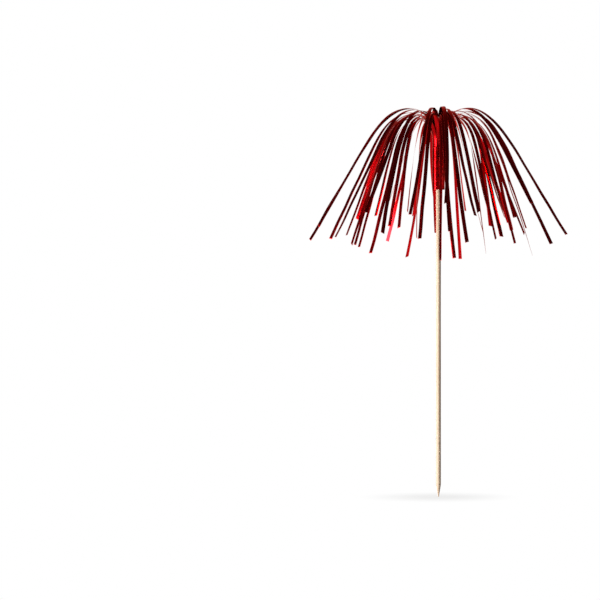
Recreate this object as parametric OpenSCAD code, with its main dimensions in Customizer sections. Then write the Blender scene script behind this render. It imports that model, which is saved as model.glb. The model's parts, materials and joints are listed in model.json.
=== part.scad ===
// Firework cocktail pick: a pointed wooden stick whose head carries a fountain of film strands.
// Each strand is a ribbon of metallised film. Its tail is curved round the head of the stick,
// bedded in glue and bound by a wrap of the same film, and its free length rises, turns over
// and falls outward. The tails lie in rings round the stick, and the inner rings rise highest.
// Lengths are in millimetres and angles in degrees. Z runs up the stick from the shoulder of
// its point, and -Y is the front.

/* [Stick] */
// Diameter of the wooden shaft
stick_d = 2.5; // [2:0.1:4]
// Length of the stick from its sharp tip to its hidden head end
stick_len = 180; // [120:1:220]
// Length of the sharpened point
point_len = 6.5; // [4:0.5:15]
// Diameter of the blunted tip
tip_d = 0.4; // [0.2:0.1:0.8]
// Diameter of the head end, which tapers inside the wrap
head_d = 2; // [1.4:0.1:2]
// Length of taper that shows below the wrap
head_lead = 1; // [0.8:0.1:3]

/* [Film] */
// Thickness of the film
film_t = 0.05; // [0.03:0.01:0.1]
// Width of one strand
strand_w = 1.9; // [1:0.1:2.2]
// Free length of a strand of the innermost ring, from the top of the wrap
inner_len = 104; // [70:1:120]
// Free length of a strand of the outermost ring
outer_len = 89; // [60:1:120]
// How much longer or shorter than that a strand may be
len_vary = 14; // [0:1:20]

/* [Fountain] */
// Length along an innermost strand in which most of its turn happens
inner_bend = 29; // [24:1:40]
// The same length on an outermost strand
outer_bend = 23; // [16:1:26]
// How late the turn comes, from an even curve at 1 to a straight rise and a tight fold at 3
bend_power = 2.1; // [1.2:0.1:2.4]
// Direction of an innermost strand's fall, where 90 is level and 180 is straight down
inner_fall = 149; // [135:1:160]
// Direction of an outermost strand's fall
outer_fall = 167; // [150:1:176]
// How much the direction of fall varies
fall_vary = 2; // [0:1:4]
// How far a tip may wander round the stick
drift = 6; // [0:1:10]
// How far a strand may be twisted at its tip
twist = 40; // [0:5:70]

/* [Binding] */
// Height of the film wrap
wrap_len = 21.5; // [12:0.5:30]
// Turns of film in the wrap
wrap_turns = 1.25; // [1:0.25:4]
// Least thickness of the glue, at the foot of the head
glue_t = 0.08; // [0.04:0.02:0.2]
// How far the glue stays back from the lower edge of the wrap
glue_inset = 1; // [0.8:0.1:4]
// Room between strands that lie side by side, and at the glue and the wrap
film_gap = 0.02; // [0.01:0.01:0.06]
// Least room between one ring of tails and the next
ring_gap = 0.09; // [0.04:0.01:0.14]

/* [Hidden] */
$fn = 64;
// Strands in each ring, from the stick outwards
RING_COUNTS = [4, 5, 5, 6, 6, 7, 7, 8, 9];
RINGS = len(RING_COUNTS);
// Turn of the innermost ring about the stick, and the turn from each ring to the next
FIRST_TURN = 143;
RING_TURN = 170;
// Steps along a free strand, drawn together towards the turn
STEPS = 20;
STEP_CROWDING = 1.25;
// Lines along a strand at which it bends round the stick, as shares of half its width
ACROSS = [-1, 0, 1];
FLATS = len(ACROSS) - 1;
CORNERS = 2 * len(ACROSS);
// Irrational steps that spread each variation evenly over the bunch, however many strands it has
LEN_STEP = 0.6180;
FALL_STEP = 0.7549;
DRIFT_STEP = 0.5698;
TWIST_STEP = 0.8192;
// Steps of the wrap in one turn
WRAP_STEPS = 40;
FRONT = -90;

wood = [0.93, 0.83, 0.66];
film_red = [0.55, 0.01, 0.03];
glue_clear = [0.9, 0.88, 0.8];

// Heights above the shoulder of the point
neck_z = stick_len - point_len;
wrap_z = neck_z - wrap_len;
shaft_len = wrap_z - head_lead;

// Ring radii, measured to the middle of the film. A tail is a few flats, whose middles lie
// a little inside its ring. A ring keeps those flats clear of the ring inside it, and is wide
// enough for its own strands to lie side by side.
function degrees(arc, r) = arc / r * 180 / PI;
function clear_r(r) = r / cos(degrees(strand_w / FLATS / 2, r)) + film_t / 2;
function inner_room(ring) =
    ring == 0
        ? clear_r(stick_d / 2 + glue_t + film_gap)
        : clear_r(ring_r(ring - 1) + film_t / 2 + ring_gap);
function side_room(ring) = RING_COUNTS[ring] * (strand_w + film_gap) / (2 * PI);
function ring_r(ring) = max(inner_room(ring), side_room(ring));
RING_R = [for (ring = [0 : RINGS - 1]) ring_r(ring)];

wrap_r = RING_R[RINGS - 1] + film_t / 2 + film_gap;
wrap_pitch = film_t + film_gap;
glue_r = stick_d / 2 + glue_t;

// Strands, each as its ring, its place in the ring and its number in the bunch
function strands_before(ring) = ring == 0 ? 0 : strands_before(ring - 1) + RING_COUNTS[ring - 1];
STRANDS = [
    for (ring = [0 : RINGS - 1])
        for (place = [0 : RING_COUNTS[ring] - 1])
            [ring, place, strands_before(ring) + place]
];
function strand_name(strand) = str("strand_", strand[0] + 1, "_", strand[1] + 1);

// A value from -1 to 1 for a strand's number in the bunch
function spread(number, step) = 2 * (number * step - floor(number * step)) - 1;

function mix(ring, inner, outer) = inner + (outer - inner) * ring / (RINGS - 1);
function free_len(strand) =
    mix(strand[0], inner_len, outer_len) + len_vary * spread(strand[2], LEN_STEP);
function root_angle(strand) =
    FRONT + FIRST_TURN + RING_TURN * strand[0] + (strand[1] + 0.5) * 360 / RING_COUNTS[strand[0]];

// Distance along the strand at a step, and the strand's lean from upright at a distance
function along(strand, step) = free_len(strand) * pow(step / STEPS, STEP_CROWDING);
function lean(strand, distance) =
    let (bend = mix(strand[0], inner_bend, outer_bend))
    let (fall = mix(strand[0], inner_fall, outer_fall) + fall_vary * spread(strand[2], FALL_STEP))
    fall * (1 - exp(-pow(distance / bend, bend_power)));

// Radius and height of each step, summed up from the top of the wrap
function rise(strand, step) =
    let (start = along(strand, step))
    let (end = along(strand, step + 1))
    let (tilt = lean(strand, (start + end) / 2))
    (end - start) * [sin(tilt), cos(tilt)];
function strand_path(strand) = [
    for (
        step = 0, place = [RING_R[strand[0]], neck_z];
        step <= STEPS;
        place = place + rise(strand, step), step = step + 1
    ) place
];

// The corners of the ribbon where it stands at one place with one lean, angle and twist: first
// its underside, then its upper side in the other direction. The ribbon bows round the stick,
// and less the farther out it is, so the strands of a ring don't meet.
function ribbon_corners(place, tilt, angle, turn) =
    let (out = [cos(angle), sin(angle), 0])
    let (side = [-sin(angle), cos(angle), 0])
    let (face = cos(tilt) * out - [0, 0, sin(tilt)])
    let (across = cos(turn) * side + sin(turn) * face)
    let (through = cos(turn) * face - sin(turn) * side)
    let (middle = place[0] * out + [0, 0, place[1]])
    [
        for (layer = [-1, 1])
            for (share = -layer * ACROSS)
                let (bow = degrees(share * strand_w / 2, place[0]))
                let (lift = layer * film_t / 2)
                let (aside = (place[0] + lift * cos(tilt)) * sin(bow))
                let (up = place[0] * (cos(bow) - 1) * cos(tilt) + lift * cos(bow))
                middle + aside * across + up * through
    ];

function strand_points(strand) =
    let (path = strand_path(strand))
    let (angle = root_angle(strand))
    let (tip_drift = drift * spread(strand[2], DRIFT_STEP))
    let (tip_twist = twist * spread(strand[2], TWIST_STEP))
    concat(
        ribbon_corners([path[0][0], wrap_z], 0, angle, 0),
        [
            for (step = [0 : STEPS])
                let (distance = along(strand, step))
                let (share = pow(distance / free_len(strand), 2))
                each ribbon_corners(
                    path[step], lean(strand, distance), angle + tip_drift * share, tip_twist * share
                )
        ]
    );

// Triangles that close one end of a strand, and those between one row of corners and the next.
// The underside and the upper side are split along the same diagonals, so a twisted strand is
// as thick as a flat one.
function end_faces(first) = [
    for (flat = [0 : FLATS - 1])
        let (a = first + flat)
        let (b = first + CORNERS - 1 - flat)
        each [[a, a + 1, b - 1], [a, b - 1, b]]
];
function row_faces(row) = [
    for (side = [0 : CORNERS - 1])
        let (a = CORNERS * row + side)
        let (b = CORNERS * row + (side + 1) % CORNERS)
        each side <= FLATS
            ? [[a, b + CORNERS, a + CORNERS], [a, b, b + CORNERS]]
            : [[a, b, a + CORNERS], [b, b + CORNERS, a + CORNERS]]
];
function strand_faces(rows) = concat(
    [for (face = end_faces(0)) [face[0], face[2], face[1]]],
    [for (row = [0 : rows - 2]) each row_faces(row)],
    end_faces(CORNERS * (rows - 1))
);

// Wooden stick: a sharpened point, a round shaft and a head that tapers inside the wrap
module stick() {
    color(wood)
        rotate_extrude()
            polygon([
                [0, -point_len],
                [tip_d / 2, -point_len],
                [stick_d / 2, 0],
                [stick_d / 2, shaft_len],
                [head_d / 2, neck_z],
                [0, neck_z]
            ]);
}

// Glue that fills the room between the tapered head and the innermost tails
module glue_sleeve() {
    glue_z = wrap_z + glue_inset;
    taper = (stick_d - head_d) / 2 / (neck_z - shaft_len);
    head_r = stick_d / 2 - taper * (glue_z - shaft_len);
    color(glue_clear)
        rotate_extrude()
            polygon([
                [head_r + film_gap, glue_z],
                [glue_r, glue_z],
                [glue_r, neck_z],
                [head_d / 2 + film_gap, neck_z]
            ]);
}

// Film wound round the bunch of tails as one strip, with its outer end left as a lap
module film_wrap() {
    last = round(wrap_turns * WRAP_STEPS);
    function wound(step, depth) =
        let (angle = FRONT + 360 * step / WRAP_STEPS)
        let (r = wrap_r + depth + wrap_pitch * step / WRAP_STEPS)
        r / cos(180 / WRAP_STEPS) * [cos(angle), sin(angle)];
    color(film_red)
        translate([0, 0, wrap_z])
            linear_extrude(wrap_len)
                polygon(concat(
                    [for (step = [0 : last]) wound(step, 0)],
                    [for (step = [last : -1 : 0]) wound(step, film_t)]
                ));
}

// One strand, from its tail under the wrap to its free tip
module strand(strand) {
    color(film_red)
        polyhedron(points = strand_points(strand), faces = strand_faces(STEPS + 2));
}

stick();
glue_sleeve();
film_wrap();
for (item = STRANDS) strand(item);
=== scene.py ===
# %% [markdown]
# # A firework cocktail pick
# The pick is a sharpened wooden stick whose head carries a fountain of red metallised film. Its
# construction is settled already: the frame holds every piece at its real size and place, so
# this lesson moves nothing. It gives each piece the form and the finish that light shows on it.

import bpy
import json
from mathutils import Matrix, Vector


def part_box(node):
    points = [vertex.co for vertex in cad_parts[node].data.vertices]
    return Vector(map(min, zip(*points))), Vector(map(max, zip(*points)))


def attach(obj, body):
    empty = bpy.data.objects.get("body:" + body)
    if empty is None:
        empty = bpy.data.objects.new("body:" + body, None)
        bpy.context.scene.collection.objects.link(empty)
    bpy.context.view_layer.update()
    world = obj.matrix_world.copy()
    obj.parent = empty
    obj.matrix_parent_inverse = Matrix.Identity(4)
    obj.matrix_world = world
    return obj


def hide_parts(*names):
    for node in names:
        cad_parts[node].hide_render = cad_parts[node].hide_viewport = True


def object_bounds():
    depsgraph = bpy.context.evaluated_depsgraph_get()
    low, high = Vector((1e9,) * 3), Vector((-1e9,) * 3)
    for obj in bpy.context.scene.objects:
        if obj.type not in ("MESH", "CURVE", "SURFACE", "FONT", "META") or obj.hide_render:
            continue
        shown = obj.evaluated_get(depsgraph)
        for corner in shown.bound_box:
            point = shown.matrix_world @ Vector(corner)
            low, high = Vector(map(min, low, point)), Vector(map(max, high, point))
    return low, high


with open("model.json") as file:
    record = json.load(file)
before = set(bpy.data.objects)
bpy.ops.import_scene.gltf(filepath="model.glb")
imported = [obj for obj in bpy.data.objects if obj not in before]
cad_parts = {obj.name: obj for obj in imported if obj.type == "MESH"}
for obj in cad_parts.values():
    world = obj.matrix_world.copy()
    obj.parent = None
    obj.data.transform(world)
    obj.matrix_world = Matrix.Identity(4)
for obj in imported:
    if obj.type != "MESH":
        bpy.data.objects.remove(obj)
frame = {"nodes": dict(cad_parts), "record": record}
cad_low, cad_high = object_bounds()
strand_nodes = sorted(name for name in frame["nodes"] if name.startswith("strand_"))
print(f"{len(frame['nodes'])} nodes, {len(strand_nodes)} of them strands")
print(f"{cad_high.z - cad_low.z:.4f} m from the tip to the crest")

# %% [markdown]
# ## The camera
# The pick is seen straight from the front, with hardly any perspective. A lens close by would
# swell the strands that come forward, so a long lens stands well back. The picture lines of the
# crest and of the tip are read from the photograph. They give the scale of the picture and the
# height of the lens. The crest comes a little nearer than the stick, so its line is drawn in
# by that much first. The stick stands right of the middle of the picture, yet its strands are
# as even to the left as to the right, so the camera stays straight before it, and a shift of
# the lens puts it in its column.

# %% Place the camera
import math

import bpy

MM = 0.001  # metres
PICTURE = 600  # pixels across and down
CREST_LINE, TIP_LINE, STICK_COLUMN = 105, 497, 438.5
CAMERA_DISTANCE = 1.5  # metres in front of the stick
CREST_REACH = 0.02  # metres by which the crest comes nearer than the stick

above = (PICTURE / 2 - CREST_LINE) * (1 - CREST_REACH / CAMERA_DISTANCE)
below = TIP_LINE - PICTURE / 2
pixel = (cad_high.z - cad_low.z) / (above + below)
camera_data = bpy.data.cameras.new("front_camera")
camera_data.lens = camera_data.sensor_width * CAMERA_DISTANCE / (PICTURE * pixel)
camera_data.shift_x = (PICTURE / 2 - STICK_COLUMN) / PICTURE
camera = bpy.data.objects.new("front_camera", camera_data)
camera.location.y = -CAMERA_DISTANCE
camera.location.z = cad_low.z + below * pixel
camera.rotation_euler.x = math.radians(90)
bpy.context.scene.collection.objects.link(camera)
bpy.context.scene.camera = camera
bpy.context.scene.view_settings.view_transform = "Standard"
print(f"lens {camera_data.lens:.1f} mm, {pixel / MM:.3f} mm to a pixel")

# %% [markdown]
# ## Writing finishes as expressions
# A finish is a tree of nodes, and placing them one by one hides what they work out. One small
# class wraps a node's output, so that sums on it add the Math nodes and read like sums. Its
# node method makes every other node: first the settings, because they decide which sockets a
# node has, and then the value or the wire of each socket.

# %% Wrap a node's output
def socket_of(sockets, key):
    """The socket at an index, or the one in use that has a name."""
    if isinstance(key, int):
        return sockets[key]
    return next(socket for socket in sockets if socket.name == key and socket.enabled)


class Wire:
    """A value on its way through a node tree. Sums on it add Math nodes."""

    def __init__(self, tree, socket=None):
        self.tree = tree
        self.socket = socket

    def feed(self, node, inputs):
        """Set a node's sockets, each to a value or to another wire."""
        for key, value in inputs.items():
            target = socket_of(node.inputs, key)
            if isinstance(value, Wire):
                self.tree.links.new(value.socket, target)
            else:
                target.default_value = value

    def node(self, kind, settings, inputs, output=0):
        """Add any node: its settings first, then its sockets."""
        made = self.tree.nodes.new(kind)
        for name, value in settings.items():
            setattr(made, name, value)
        self.feed(made, inputs)
        return Wire(self.tree, socket_of(made.outputs, output))

    def math(self, operation, first, second):
        return self.node("ShaderNodeMath", {"operation": operation}, {0: first, 1: second})

    def __add__(self, other):
        return self.math("ADD", self, other)

    def __sub__(self, other):
        return self.math("SUBTRACT", self, other)

    def __rsub__(self, other):
        return self.math("SUBTRACT", other, self)

    def __mul__(self, other):
        return self.math("MULTIPLY", self, other)

    __radd__ = __add__
    __rmul__ = __mul__


print("a wire can be added, subtracted and multiplied")

# %% [markdown]
# ## Patterns that several finishes use
# Wood fibre and film streaks are the same cloud of noise, drawn out in one direction. So the
# pattern is one function: it stretches a place by a scale for each axis and reads the noise
# there. A step with soft ends turns such a pattern into a mask, a colour is mixed by a mask, and
# a bump takes the patterns' heights in millimetres.

# %% Define the patterns
def new_finish(name):
    """A new material, with a first wire for its node tree."""
    material = bpy.data.materials.new(name)
    material.use_nodes = True
    return material, Wire(material.node_tree)


def drawn_noise(wire, place, scales, detail=2.0):
    """Noise from 0 to 1 at a place, with its own scale along each axis."""
    stretched = wire.node("ShaderNodeMapping", {}, {"Vector": place, "Scale": scales})
    inputs = {"Vector": stretched, "Scale": 1.0, "Detail": detail}
    return wire.node("ShaderNodeTexNoise", {}, inputs)


def soft_step(wire, value, low, high):
    """0 below low and 1 above high, with a smooth rise between them."""
    settings = {"interpolation_type": "SMOOTHSTEP"}
    inputs = {"Value": value, "From Min": low, "From Max": high}
    return wire.node("ShaderNodeMapRange", settings, inputs)


def mixed(wire, mask, first, second):
    """The first colour where the mask is 0 and the second where it is 1."""
    inputs = {"Factor": mask, "A": first, "B": second}
    return wire.node("ShaderNodeMix", {"data_type": "RGBA"}, inputs, "Result")


def bumped(wire, relief):
    """The normal of a surface with this relief, in millimetres."""
    inputs = {"Height": relief, "Distance": MM, "Strength": 1.0}
    return wire.node("ShaderNodeBump", {}, inputs)


def finish_surface(material, wire, inputs):
    """Give the material's surface shader its values and wires."""
    wire.feed(material.node_tree.nodes["Principled BSDF"], inputs)


print("patterns: noise, step, mix, bump")

# %% [markdown]
# ## Red film
# The strands are slit from a thin plastic film with a metal layer under red lacquer. It mirrors
# what stands around it, so most of its look comes from the light: it is bright red where it
# faces a white surface and nearly black where it faces a dark one. The finish adds what makes
# it film and not chrome. The lacquer is deeper on some strands than on others, the slitting
# knives leave fine streaks along it, handling leaves soft dents and creases, and the cut edges
# are rough, with the lacquer rubbed thin. Bare metal turns white when it is seen nearly edge-on,
# but the lacquer keeps it reddish, and the specular tint stands for that. The patterns follow
# the film and not space, so they read a map named sheet, which holds each point's place on the
# uncut sheet, and a value named rim, its distance from the nearest cut. Both are in millimetres.

# %% Make the film's finish
LACQUER_DEEP = (0.25, 0.001, 0.002, 1)
LACQUER_THIN = (0.62, 0.002, 0.004, 1)
GRAZING_TINT = (1.0, 0.60, 0.54, 1)
RUBBED_EDGE = (0.62, 0.05, 0.045, 1)
RUBBED_WIDTH = 0.08  # millimetres
# How often each pattern changes in a millimetre, across the film and along it
DEPTH_SCALES, DENT_SCALES = (0.5, 0.03, 1), (0.22, 0.16, 1)
STREAK_SCALES, SCUFF_SCALES = (6.0, 0.08, 1), (1.3, 0.7, 1)
CREASE_SCALE, CREASE_WIDTH = 0.14, 0.09  # the width is a share of a cell between creases
DENT_HEIGHT, STREAK_HEIGHT, CREASE_HEIGHT = 0.035, 0.001, 0.005  # millimetres
FILM_ROUGHNESS, STREAK_ROUGHNESS, SCUFF_ROUGHNESS, EDGE_ROUGHNESS = 0.16, 0.06, 0.04, 0.4
FILM_COAT, COAT_ROUGHNESS = 0.03, 0.1


def film_finish():
    """Mirror-bright red film with streaks, dents, creases and rubbed edges."""
    material, wire = new_finish("red_film")
    sheet = wire.node("ShaderNodeUVMap", {"uv_map": "sheet"}, {})
    rim = wire.node("ShaderNodeAttribute", {"attribute_name": "rim"}, {}, "Fac")
    depths = drawn_noise(wire, sheet, DEPTH_SCALES)
    dents = drawn_noise(wire, sheet, DENT_SCALES)
    streaks = drawn_noise(wire, sheet, STREAK_SCALES)
    scuffs = drawn_noise(wire, sheet, SCUFF_SCALES, detail=6.0)
    cells = {"Vector": sheet, "Scale": CREASE_SCALE}
    creases = wire.node("ShaderNodeTexVoronoi", {"feature": "DISTANCE_TO_EDGE"}, cells)
    fold = 1 - soft_step(wire, creases, 0.0, CREASE_WIDTH)
    edge = 1 - soft_step(wire, rim, 0.2 * RUBBED_WIDTH, RUBBED_WIDTH)
    rubbed = edge * soft_step(wire, streaks, 0.35, 0.6)
    scuffed = soft_step(wire, scuffs, 0.5, 0.75)
    lacquer = mixed(wire, soft_step(wire, depths, 0.3, 0.7), LACQUER_DEEP, LACQUER_THIN)
    relief = DENT_HEIGHT * dents + STREAK_HEIGHT * streaks + CREASE_HEIGHT * fold
    roughness = (
        FILM_ROUGHNESS
        + STREAK_ROUGHNESS * streaks
        + SCUFF_ROUGHNESS * scuffed
        + EDGE_ROUGHNESS * edge
    )
    finish_surface(material, wire, {
        "Base Color": mixed(wire, rubbed, lacquer, RUBBED_EDGE),
        "Roughness": roughness,
        "Normal": bumped(wire, relief),
        "Metallic": 1.0,
        "Specular Tint": GRAZING_TINT,
        "Coat Weight": FILM_COAT,
        "Coat Roughness": COAT_ROUGHNESS,
    })
    return material


red_film = film_finish()
print(f"{red_film.name}: {len(red_film.node_tree.nodes)} nodes")

# %% [markdown]
# ## Pale wood
# The stick is birch, turned and left bare. Its fibres run along it, so the same noise is drawn
# out about sixty times along Z, once fine for the fibres and once broad for the growth rings,
# and a shorter one gives the few dark pores. The wood is matt, and the pores are a little sunk.

# %% Make the wood's finish
WOOD_PALE = (0.91, 0.72, 0.53, 1)
WOOD_WARM = (0.80, 0.55, 0.36, 1)
WOOD_PORE = (0.46, 0.29, 0.15, 1)
# How often each pattern changes in a metre, along X, Y and Z
FIBRE_SCALES, RING_SCALES = (5200, 5200, 90), (900, 900, 14)
PORE_SCALES = (3600, 3600, 260)
RING_SHARE, FIBRE_SHARE, PORE_SHADE = 0.65, 0.35, 0.6
FIBRE_HEIGHT, PORE_DEPTH = 0.008, 0.012  # millimetres
WOOD_ROUGHNESS, FIBRE_ROUGHNESS = 0.55, 0.2


def wood_finish():
    """Bare birch with its grain along Z."""
    material, wire = new_finish("pale_wood")
    place = wire.node("ShaderNodeTexCoord", {}, {}, "Object")
    fibres = drawn_noise(wire, place, FIBRE_SCALES, detail=4.0)
    rings = drawn_noise(wire, place, RING_SCALES)
    pores = soft_step(wire, drawn_noise(wire, place, PORE_SCALES), 0.66, 0.76)
    warm = RING_SHARE * soft_step(wire, rings, 0.35, 0.7) + FIBRE_SHARE * fibres
    grain = mixed(wire, warm, WOOD_PALE, WOOD_WARM)
    finish_surface(material, wire, {
        "Base Color": mixed(wire, PORE_SHADE * pores, grain, WOOD_PORE),
        "Roughness": WOOD_ROUGHNESS + FIBRE_ROUGHNESS * fibres,
        "Normal": bumped(wire, FIBRE_HEIGHT * fibres - PORE_DEPTH * pores),
    })
    return material


pale_wood = wood_finish()
print(f"{pale_wood.name}: {len(pale_wood.node_tree.nodes)} nodes")

# %% [markdown]
# ## Along a strand's solid
# Every strand's solid is a sweep with six corners to a row, three under the film and three on
# it. The film that replaces it has to run along the same line, so the line is read from the
# solid. A copy of the solid is welded first, because its triangles come loose. The walk starts
# at the six corners in the foot of the wrap, and each next row is what those corners share an
# edge with.

# %% Walk along a strand's solid
import bmesh
from mathutils import Vector

wrap_low, wrap_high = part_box("film_wrap")
WELD = 1e-6  # metres within which corners are one
CORNERS = 6


def corner_rows(node):
    """Rows of corners along a strand's solid, from its tail to its tip."""
    bm = bmesh.new()
    bm.from_mesh(frame["nodes"][node].data)
    bmesh.ops.remove_doubles(bm, verts=bm.verts, dist=WELD)
    bm.verts.index_update()
    foot = Vector((0, 0, wrap_low.z))
    row = sorted(bm.verts, key=lambda corner: (corner.co - foot).length)[:CORNERS]
    rows = []
    seen = set()
    while row:
        rows.append([corner.co.copy() for corner in row])
        seen.update(row)
        found = {edge.other_vert(corner) for corner in row for edge in corner.link_edges}
        row = sorted(found - seen, key=lambda corner: corner.index)
    bm.free()
    return rows


print(f"{strand_nodes[0]} has {len(corner_rows(strand_nodes[0]))} rows of corners")

# %% [markdown]
# ## Where the strands run
# In a row the corners pair up through the film into a middle and two edges. The middle lies on
# the strand's line, the edges give the way that the film faces, and how far the middle stands
# out from them is the bow that the film takes round the stick. Straight lines from row to row
# would leave the film with kinks, so the spine is a smooth curve through all the rows.

# %% Read the strands' spines
import numpy as np


def film_spots(corners):
    """A row's middle and its two edges, halfway through the film, and the film's thickness."""
    spots = []
    while corners:
        corner = corners.pop()
        partner = min(corners, key=lambda other: (other - corner).length)
        corners.remove(partner)
        spots.append((corner + partner) / 2)
    inmost = sorted(spots, key=lambda spot: sum((spot - other).length for other in spots))
    return inmost, (corner - partner).length


class Spine:
    """The line of one strand, with the film's side and its bow along it."""

    def __init__(self, node):
        middles = []
        sides = []
        bows = []
        for corners in corner_rows(node):
            (middle, edge, other_edge), self.thickness = film_spots(corners)
            side = edge - other_edge
            before = sides[-1] if sides else Vector((-middle.y, middle.x, 0))
            middles.append(middle)
            sides.append(side if side.dot(before) > 0 else -side)
            bows.append(middle - (edge + other_edge) / 2)
            self.width = (edge - middle).length + (middle - other_edge).length
        self.values = np.hstack([np.array(middles), np.array(sides), np.array(bows)])
        steps = np.linalg.norm(np.diff(self.values[:, :3], axis=0), axis=1)
        self.marks = np.concatenate([[0], np.cumsum(steps)])
        self.slopes = np.gradient(self.values, self.marks, axis=0)
        self.length = self.marks[-1]

    def at(self, along):
        """Middles, sides and bows at distances from the tail, on a smooth curve through the rows."""
        row = np.clip(np.searchsorted(self.marks, along) - 1, 0, len(self.marks) - 2)
        span = (self.marks[row + 1] - self.marks[row])[:, None]
        t = (along - self.marks[row])[:, None] / span
        values = (
            (1 + 2 * t) * (1 - t) ** 2 * self.values[row]
            + t * (1 - t) ** 2 * span * self.slopes[row]
            + t**2 * (3 - 2 * t) * self.values[row + 1]
            + t**2 * (t - 1) * span * self.slopes[row + 1]
        )
        return np.hsplit(values, 3)


spines = {node: Spine(node) for node in strand_nodes}
lengths = [spine.length for spine in spines.values()]
print(f"strands from {min(lengths):.3f} to {max(lengths):.3f} m long with their tails")

# %% [markdown]
# ## Cutting film
# Film comes flat, so each strip is cut flat here too, as a grid, and bent afterwards. While it
# is flat, its map and its distance from the cuts are simply its own coordinates. Every strip
# takes a lane of its own on the sheet, so no two strands have the same creases.

# %% Cut strips from the sheet
LANE = 2.3  # millimetres from one strip's middle on the sheet to the next
COLUMNS, ROWS = 6, 120
CRISP = math.radians(40)  # an edge that turns more than this looks sharp


def cut_strip(width, length, columns, rows, lane):
    """A flat strip with X across it and Y along it, from Y = 0."""
    bm = bmesh.new()
    sheet = bm.loops.layers.uv.new("sheet")
    rim = bm.verts.layers.float.new("rim")
    bmesh.ops.create_grid(bm, x_segments=columns, y_segments=rows, size=0.5)
    bmesh.ops.scale(bm, vec=(width, length, 1), verts=bm.verts)
    bmesh.ops.translate(bm, vec=(0, length / 2, 0), verts=bm.verts)
    for vert in bm.verts:
        across, along = abs(vert.co.x), vert.co.y
        vert[rim] = min(width / 2 - across, along, length - along) / MM
    for face in bm.faces:
        face.smooth = True
        for loop in face.loops:
            loop[sheet].uv = (loop.vert.co.x / MM + lane * LANE, loop.vert.co.y / MM)
    return bm


def sharpen(bm):
    """Keep the shading apart on both sides of a crisp edge."""
    for edge in bm.edges:
        edge.smooth = edge.calc_face_angle(0) < CRISP


def thicken(bm, thickness):
    """Give a bent sheet its thickness below its faces, with crisp cut edges."""
    bmesh.ops.solidify(bm, geom=bm.faces[:], thickness=thickness)
    sharpen(bm)


def add_piece(name, bm, material, node):
    """Make the mesh a piece that stands for a node of the frame."""
    mesh = bpy.data.meshes.new(name)
    bm.to_mesh(mesh)
    bm.free()
    mesh.materials.append(material)
    piece = bpy.data.objects.new(name, mesh)
    bpy.context.scene.collection.objects.link(piece)
    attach(piece, "root")
    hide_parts(node)
    return piece


sample = cut_strip(2 * MM, 100 * MM, COLUMNS, ROWS, 0)
print(f"a strip of film has {len(sample.faces)} faces before it is thickened")
sample.free()

# %% [markdown]
# ## How free film falls
# Past the wrap the film is free, and free film is never quite even: it ripples and flutters, and
# it rolls on its own line as it falls. Side strands turn their faces to the front, those between
# the side and the back turn farther round, and those in front turn a little either way, so from
# every side broad strands stand beside thin ones. Smooth noise gives the ripple and the flutter.
# The roll comes from a draw with a seed for each strand, so every run makes the same fountain.

# %% Roll and ripple
import random

from mathutils import noise

ROLL, ROLL_REACH = (math.radians(10), math.radians(50)), 32 * MM
WHIRL, WHIRL_REACH = (math.radians(50), math.radians(95)), 45 * MM
TWIRL = math.radians(28)
STRAND_STEP, KIND_STEP = 3.7, 5.3  # how far apart in the noise two strands and two kinds lie
FLUTTER_KIND, RIPPLE_KIND = 0, 1


def eased(values):
    """A smooth rise from 0 to 1."""
    share = np.clip(values, 0, 1)
    return share**2 * (3 - 2 * share)


def wave(along, length, number, kind):
    """Smooth noise along a strand, different for each strand and each kind."""
    lane = (number * STRAND_STEP, kind * KIND_STEP)
    return np.array([noise.noise((place / length, *lane)) for place in along])


def strand_roll(spine, free, draw):
    """How far the film has turned on its own line, at distances past the close part."""
    sideways, backward = spine.values[0, :2] / np.linalg.norm(spine.values[0, :2])
    # Twice the product is 1 for a strand halfway between the side and the back
    whirl = 2 * draw.uniform(*WHIRL) * sideways * max(0, backward)
    twirl = draw.uniform(-TWIRL, TWIRL) * max(0, -backward)
    roll = draw.uniform(*ROLL) * sideways
    return (twirl - whirl) * eased(free / WHIRL_REACH) - roll * eased(free / ROLL_REACH)


print("a side strand rolls by", [round(math.degrees(limit)) for limit in ROLL], "degrees")
print("one that falls back and sideways by", [round(math.degrees(limit)) for limit in WHIRL], "more")

# %% [markdown]
# ## The strands
# A strand's tail lies straight under the wrap, bowed round the stick. Just above the wrap the
# strands lie close together, so all the unevenness starts past that stretch and grows slowly.
# The bend over the crest cups the film slightly across, and the tip is snipped, more or less
# square. A curve with a bevel could draw such ribbons, but it could not cup them or keep their
# map, so the flat strip's points are carried to the spine one by one.

# %% Bend the strands
TAIL = wrap_high.z - wrap_low.z
CLOSE = 15 * MM  # past the wrap, where the strands still lie close together
LOOSENING = 14 * MM
RIPPLE, RIPPLE_WAVE = 0.35 * MM, 13 * MM
FLUTTER, FLUTTER_WAVE = math.radians(11), 27 * MM
CUP = 0.09 * MM
SNIP, SNIP_REACH = math.radians(24), 3 * MM
FEELER = 0.1 * MM


def unit(vectors):
    """The same directions, all one long."""
    return vectors / np.linalg.norm(vectors, axis=1)[:, None]


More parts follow.
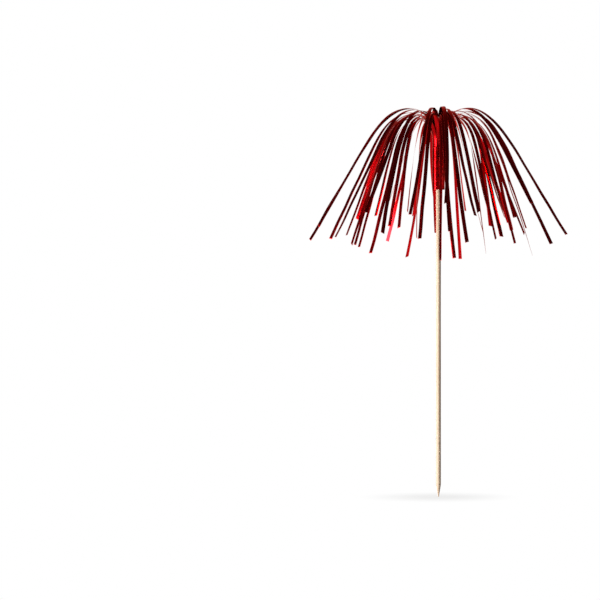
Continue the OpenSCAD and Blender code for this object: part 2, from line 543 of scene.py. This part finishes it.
def bend_strand(bm, spine, number):
    """Carry a flat strip's points to the strand's spine."""
    flat = np.array([vert.co for vert in bm.verts])
    across, along = flat[:, 0], flat[:, 1]
    draw = random.Random(number)
    slant = math.tan(draw.uniform(-SNIP, SNIP))
    near_tip = eased((along - spine.length + SNIP_REACH) / SNIP_REACH)
    along = along - near_tip * (across * slant + abs(slant) * spine.width / 2)
    middles, sides, bows = spine.at(along)
    ahead = spine.at(along + FEELER)[0] - spine.at(along - FEELER)[0]
    faces = unit(np.cross(sides, ahead))
    share = across / spine.width
    free = along - TAIL - CLOSE
    loose = eased(free / LOOSENING)
    roll = strand_roll(spine, free, draw)
    turn = (roll + loose * FLUTTER * wave(along, FLUTTER_WAVE, number, FLUTTER_KIND))[:, None]
    turned_sides = np.cos(turn) * sides + np.sin(turn) * spine.width * faces
    cup = -CUP * (1 - (2 * share) ** 2)
    ripple = RIPPLE * wave(along, RIPPLE_WAVE, number, RIPPLE_KIND)
    lift = spine.thickness / 2 + loose * (ripple + cup)
    bent = middles + share[:, None] * turned_sides + lift[:, None] * faces
    bent -= (2 * share[:, None]) ** 2 * bows
    for vert, place in zip(bm.verts, bent):
        vert.co = place


for number, (node, spine) in enumerate(spines.items()):
    strip = cut_strip(spine.width, spine.length, COLUMNS, ROWS, number)
    bend_strand(strip, spine, number)
    thicken(strip, spine.thickness)
    strand = add_piece(f"{node}_film", strip, red_film, node)
print(f"{len(spines)} strands of {len(strand.data.polygons)} faces each")

# %% [markdown]
# ## The wrap
# One strip of the same film is wound round the tails and glued, with its end left as a lap. A
# plain tube would miss the lap and look like a ferrule. So the strip is cut flat like the
# strands, with its width standing upright, and wound. Over each tail of the outermost ring it
# stands out a little, and it is pulled into fine upright folds. Both layers of the lap take the
# same folds, so they lie on each other.

# %% Wind the wrap
WRAP_TURNS = 1.25
WRAP_START = -math.pi / 2
TAIL_RIB = 0.05 * MM
FOLD, FOLD_COUNT, FOLD_HEIGHT = 0.07 * MM, 3.4, 11 * MM
RAGGED, RAGGED_COUNT, EDGE_POWER = 0.14 * MM, 3, 6
WRAP_COLUMNS, WRAP_ROWS = 28, 180
SPARE_LANES = 8  # on the sheet, between the last strand and the broad strip of the wrap

outer_ring = [node for node in strand_nodes if node.startswith(strand_nodes[-1][:-1])]
outer_tail = spines[outer_ring[0]].values[0]
tail_angle = math.atan2(outer_tail[1], outer_tail[0])
wrap_radii = [vert.co.xy.length for vert in frame["nodes"]["film_wrap"].data.vertices]
wrap_inner, wrap_outer = min(wrap_radii), max(wrap_radii)
film_thickness = spines[outer_ring[0]].thickness
wrap_pitch = (wrap_outer - wrap_inner - film_thickness) / WRAP_TURNS


def wind_wrap(bm, length):
    """Roll a flat strip round the tails, with its width upright."""
    middle = (wrap_low.z + wrap_high.z) / 2
    for vert in bm.verts:
        up, turns = vert.co.x, WRAP_TURNS * vert.co.y / length
        angle = WRAP_START + math.tau * turns
        around = Vector((math.cos(angle), math.sin(angle), 0))
        spot = FOLD_COUNT * around + Vector((0, 0, up / FOLD_HEIGHT))
        rib = TAIL_RIB * (0.5 + 0.5 * math.cos(len(outer_ring) * (angle - tail_angle)))
        fold = FOLD * (0.5 + 0.5 * noise.noise(spot))
        edge = (2 * up / TAIL) ** EDGE_POWER
        ragged = RAGGED * edge * noise.noise(RAGGED_COUNT * spot)
        radius = wrap_inner + wrap_pitch * turns + rib + fold
        vert.co = radius * around + Vector((0, 0, middle + up + ragged))


wrap_length = WRAP_TURNS * math.tau * wrap_inner
wrap_lane = len(strand_nodes) + SPARE_LANES
strip = cut_strip(TAIL, wrap_length, WRAP_COLUMNS, WRAP_ROWS, wrap_lane)
wind_wrap(strip, wrap_length)
thicken(strip, film_thickness)
wrap = add_piece("film_wrap_wound", strip, red_film, "film_wrap")
print(f"wrap over {len(outer_ring)} tails, radius {wrap_inner / MM:.2f} to {wrap_outer / MM:.2f} mm")

# %% [markdown]
# ## The stick
# The stick is turned, so its profile is spun. The profile has only the points that the shape
# needs: the blunted tip, the soft shoulder of the point, the end of the shaft and the head.
# It is then divided along its length, and each point is pushed in or out by a few hundredths
# of a millimetre, because bare wood keeps the grooves of its fibres after turning.

# %% Spin the stick
STICK_SIDES, RING_STEP = 56, 1.7 * MM
GROOVE, GROOVE_COUNT, GROOVE_LENGTH = 0.03 * MM, 3.2, 24 * MM
TIP_RADIUS = 0.2 * MM
TIP_ROUNDING = (0.7, 0.3)  # shares of the tip's radius, out and up
SHOULDER_SHARE, SHOULDER_LOW, SHOULDER_HIGH = 0.93, -0.6 * MM, 0.4 * MM
stick_low, stick_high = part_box("stick")
shaft = frame["record"]["mounts"][0]["dims"]
shaft_radius, shaft_length = shaft["r_mm"] * MM, shaft["length_mm"] * MM
head_radius = max(
    vert.co.xy.length
    for vert in frame["nodes"]["stick"].data.vertices
    if vert.co.z > stick_high.z - WELD
)

profile = [
    (0, stick_low.z),
    (TIP_ROUNDING[0] * TIP_RADIUS, stick_low.z + TIP_ROUNDING[1] * TIP_RADIUS),
    (TIP_RADIUS, stick_low.z + TIP_RADIUS),
    (SHOULDER_SHARE * shaft_radius, SHOULDER_LOW),
    (shaft_radius, SHOULDER_HIGH),
    (shaft_radius, shaft_length),
    (head_radius, stick_high.z),
    (0, stick_high.z),
]


def spin_stick():
    """Spin the profile, divide it along its length and groove it."""
    bm = bmesh.new()
    verts = [bm.verts.new((radius, 0, z)) for radius, z in profile]
    for ends in zip(verts, verts[1:]):
        bm.edges.new(ends)
    spun = {"cent": (0, 0, 0), "axis": (0, 0, 1), "angle": math.tau, "steps": STICK_SIDES}
    bmesh.ops.spin(bm, geom=bm.verts[:] + bm.edges[:], use_merge=True, **spun)
    bmesh.ops.remove_doubles(bm, verts=bm.verts, dist=WELD)
    bmesh.ops.recalc_face_normals(bm, faces=bm.faces)
    for z in np.arange(stick_low.z + RING_STEP, stick_high.z, RING_STEP):
        geometry = bm.verts[:] + bm.edges[:] + bm.faces[:]
        bmesh.ops.bisect_plane(bm, geom=geometry, plane_co=(0, 0, z), plane_no=(0, 0, 1))
    for vert in bm.verts:
        radius = vert.co.xy.length
        if radius > TIP_RADIUS:
            around = Vector((vert.co.x, vert.co.y, 0)) / radius
            spot = GROOVE_COUNT * around + Vector((0, 0, vert.co.z / GROOVE_LENGTH))
            vert.co += around * GROOVE * (noise.noise(spot) - 0.5)
    for face in bm.faces:
        face.smooth = True
    sharpen(bm)
    return bm


stick = add_piece("stick_turned", spin_stick(), pale_wood, "stick")
print(f"stick of {len(stick.data.polygons)} faces, {2 * shaft_radius / MM:.2f} mm thick")

# %% [markdown]
# ## The glue
# Glue fills the room between the tapered head and the innermost tails. It hardly shows, so its
# solid stays as it is and only gets a finish: clear, yellowish, and cloudy where air was caught.

# %% Finish the glue
GLUE_CLEAR = (0.72, 0.60, 0.36, 1)
GLUE_CLOUDY = (0.90, 0.86, 0.74, 1)
CLOUD_SCALES = (1500, 1500, 700)
GLUE_ROUGHNESS, CLOUD_ROUGHNESS = 0.2, 0.25


def glue_finish():
    """Set clear glue with a few bubbles."""
    material, wire = new_finish("set_glue")
    place = wire.node("ShaderNodeTexCoord", {}, {}, "Object")
    cloud = drawn_noise(wire, place, CLOUD_SCALES, detail=4.0)
    finish_surface(material, wire, {
        "Base Color": mixed(wire, soft_step(wire, cloud, 0.4, 0.65), GLUE_CLEAR, GLUE_CLOUDY),
        "Roughness": GLUE_ROUGHNESS + CLOUD_ROUGHNESS * cloud,
    })
    return material


glue_node = frame["nodes"]["glue_sleeve"]
glue_node.data.materials.clear()
glue_node.data.materials.append(glue_finish())
glue_low, glue_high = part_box("glue_sleeve")
print(f"glue from {glue_low.z:.4f} to {glue_high.z:.4f} m")

# %% [markdown]
# ## Floor and backdrop
# The pick stands before white. If the white came from more lamps it would also wash out the
# dark side of the stick, so the floor and the backdrop are plain pale surfaces that show white
# to the camera and to reflections only. The film needs that white: it is what makes the
# strands that face down bright. Near the tip the floor keeps part of its own shading, and with
# it the pick's shadow.

# %% Lay the floor and hang the backdrop
FLOOR_SIZE = 40.0  # metres, as are the next three
BACKDROP_DISTANCE, BACKDROP_WIDTH, BACKDROP_HEIGHT = 2.6, 1.5, 1.1
WHITE = (1, 1, 1, 1)
PALE = (0.8, 0.8, 0.8, 1)
SHADOW_NEAR, SHADOW_FAR = 0.002, 0.045  # metres from the tip over which the shading fades
SHADE_KEPT = 0.2


def stage_finish(name, shade_kept):
    """A pale surface that shows white to the camera and to reflections."""
    material, wire = new_finish(name)
    nodes = material.node_tree.nodes
    place = wire.node("ShaderNodeTexCoord", {}, {}, "Object")
    reach = wire.node("ShaderNodeVectorMath", {"operation": "LENGTH"}, {0: place}, "Value")
    near = 1 - soft_step(wire, reach, SHADOW_NEAR, SHADOW_FAR)
    seen = sum(
        wire.node("ShaderNodeLightPath", {}, {}, ray)
        for ray in ("Is Camera Ray", "Is Glossy Ray", "Is Transmission Ray")
    )
    white = wire.node("ShaderNodeEmission", {}, {"Color": WHITE, "Strength": 1.0})
    pale = wire.node("ShaderNodeBsdfDiffuse", {}, {"Color": PALE})
    share = seen * (1 - shade_kept * near)
    shown = wire.node("ShaderNodeMixShader", {}, {0: share, 1: pale, 2: white})
    wire.feed(nodes["Material Output"], {"Surface": shown})
    nodes.remove(nodes["Principled BSDF"])
    return material


def add_stage(name, width, height, material):
    """A flat sheet in the XY plane that isn't part of the object."""
    bm = bmesh.new()
    bmesh.ops.create_grid(bm, x_segments=1, y_segments=1, size=0.5)
    bmesh.ops.scale(bm, vec=(width, height, 1), verts=bm.verts)
    mesh = bpy.data.meshes.new(name)
    bm.to_mesh(mesh)
    bm.free()
    mesh.materials.append(material)
    sheet = bpy.data.objects.new(name, mesh)
    bpy.context.scene.collection.objects.link(sheet)
    return sheet


floor = add_stage("floor", FLOOR_SIZE, FLOOR_SIZE, stage_finish("pale_floor", SHADE_KEPT))
floor.location.z = cad_low.z
backdrop_white = stage_finish("backdrop_white", 0.0)
backdrop = add_stage("backdrop", BACKDROP_WIDTH, BACKDROP_HEIGHT, backdrop_white)
backdrop.location.y = BACKDROP_DISTANCE
backdrop.location.z = cad_low.z + BACKDROP_HEIGHT / 2
backdrop.rotation_euler.x = math.radians(90)
print(f"floor at {floor.location.z:.4f} m, backdrop {BACKDROP_DISTANCE} m behind")

# %% [markdown]
# ## Light
# The stick is bright on its left and brown on its right, and the wrap carries one bright streak
# left of its middle. Both tell of one soft lamp at the left, level with the wrap and so low that
# few of the falling strands in front mirror it. A weak lamp at the right lifts the edge of the
# stick on that side. A lamp's level here is what a white card shows that faces it at the pick.

# %% Set the lamps
def aim(azimuth, elevation):
    """The direction at an azimuth, from the front towards the right, and an elevation."""
    turn, rise = math.radians(azimuth), math.radians(elevation)
    flat = math.cos(rise)
    return Vector((flat * math.sin(turn), -flat * math.cos(turn), math.sin(rise)))


def add_lamp(name, azimuth, elevation, distance, size, level):
    """A rectangular soft lamp that faces the wrap."""
    lamp_data = bpy.data.lights.new(name, "AREA")
    lamp_data.shape = "RECTANGLE"
    lamp_data.size, lamp_data.size_y = size
    lamp_data.energy = level * (math.pi * distance) ** 2
    lamp = bpy.data.objects.new(name, lamp_data)
    direction = aim(azimuth, elevation)
    lamp.location = Vector((0, 0, wrap_low.z)) + distance * direction
    lamp.rotation_euler = direction.to_track_quat("Z", "Y").to_euler()
    bpy.context.scene.collection.objects.link(lamp)


add_lamp("left_lamp", azimuth=-60, elevation=0, distance=1.1, size=(0.4, 0.28), level=1.3)
add_lamp("right_lamp", azimuth=84, elevation=0, distance=1.4, size=(0.22, 0.6), level=0.05)
print("lamps:", sorted(light.name for light in bpy.data.lights))

# %% [markdown]
# ## The room
# A mirror shows what stands around it, so the room matters more to the film than the lamps do.
# The falling strands in front mirror the room before the pick, high up, and they are dark in the
# photograph, so that part of the room is dim. The folds of the crest mirror the room behind and
# have a soft sheen, so it is brighter there. One smooth step from front to back says both.

# %% Dim the room
ROOM_FRONT = (0.07, 0.07, 0.07, 1)
ROOM_BEHIND = (0.5, 0.5, 0.5, 1)

world = bpy.context.scene.world or bpy.data.worlds.new("room")
bpy.context.scene.world = world
world.use_nodes = True
wire = Wire(world.node_tree)
direction = wire.node("ShaderNodeTexCoord", {}, {}, "Generated")
depth = wire.node("ShaderNodeSeparateXYZ", {}, {"Vector": direction}, "Y")
room = mixed(wire, soft_step(wire, depth, 0.0, 1.0), ROOM_FRONT, ROOM_BEHIND)
wire.feed(world.node_tree.nodes["Background"], {"Color": room, "Strength": 1.0})
print("the room is dimmer in front than behind")

# %% [markdown]
# ## The pick's size
# The film may stand a little proud of the solids it replaces, but the pick keeps its size.

# %% Load the json module
import json
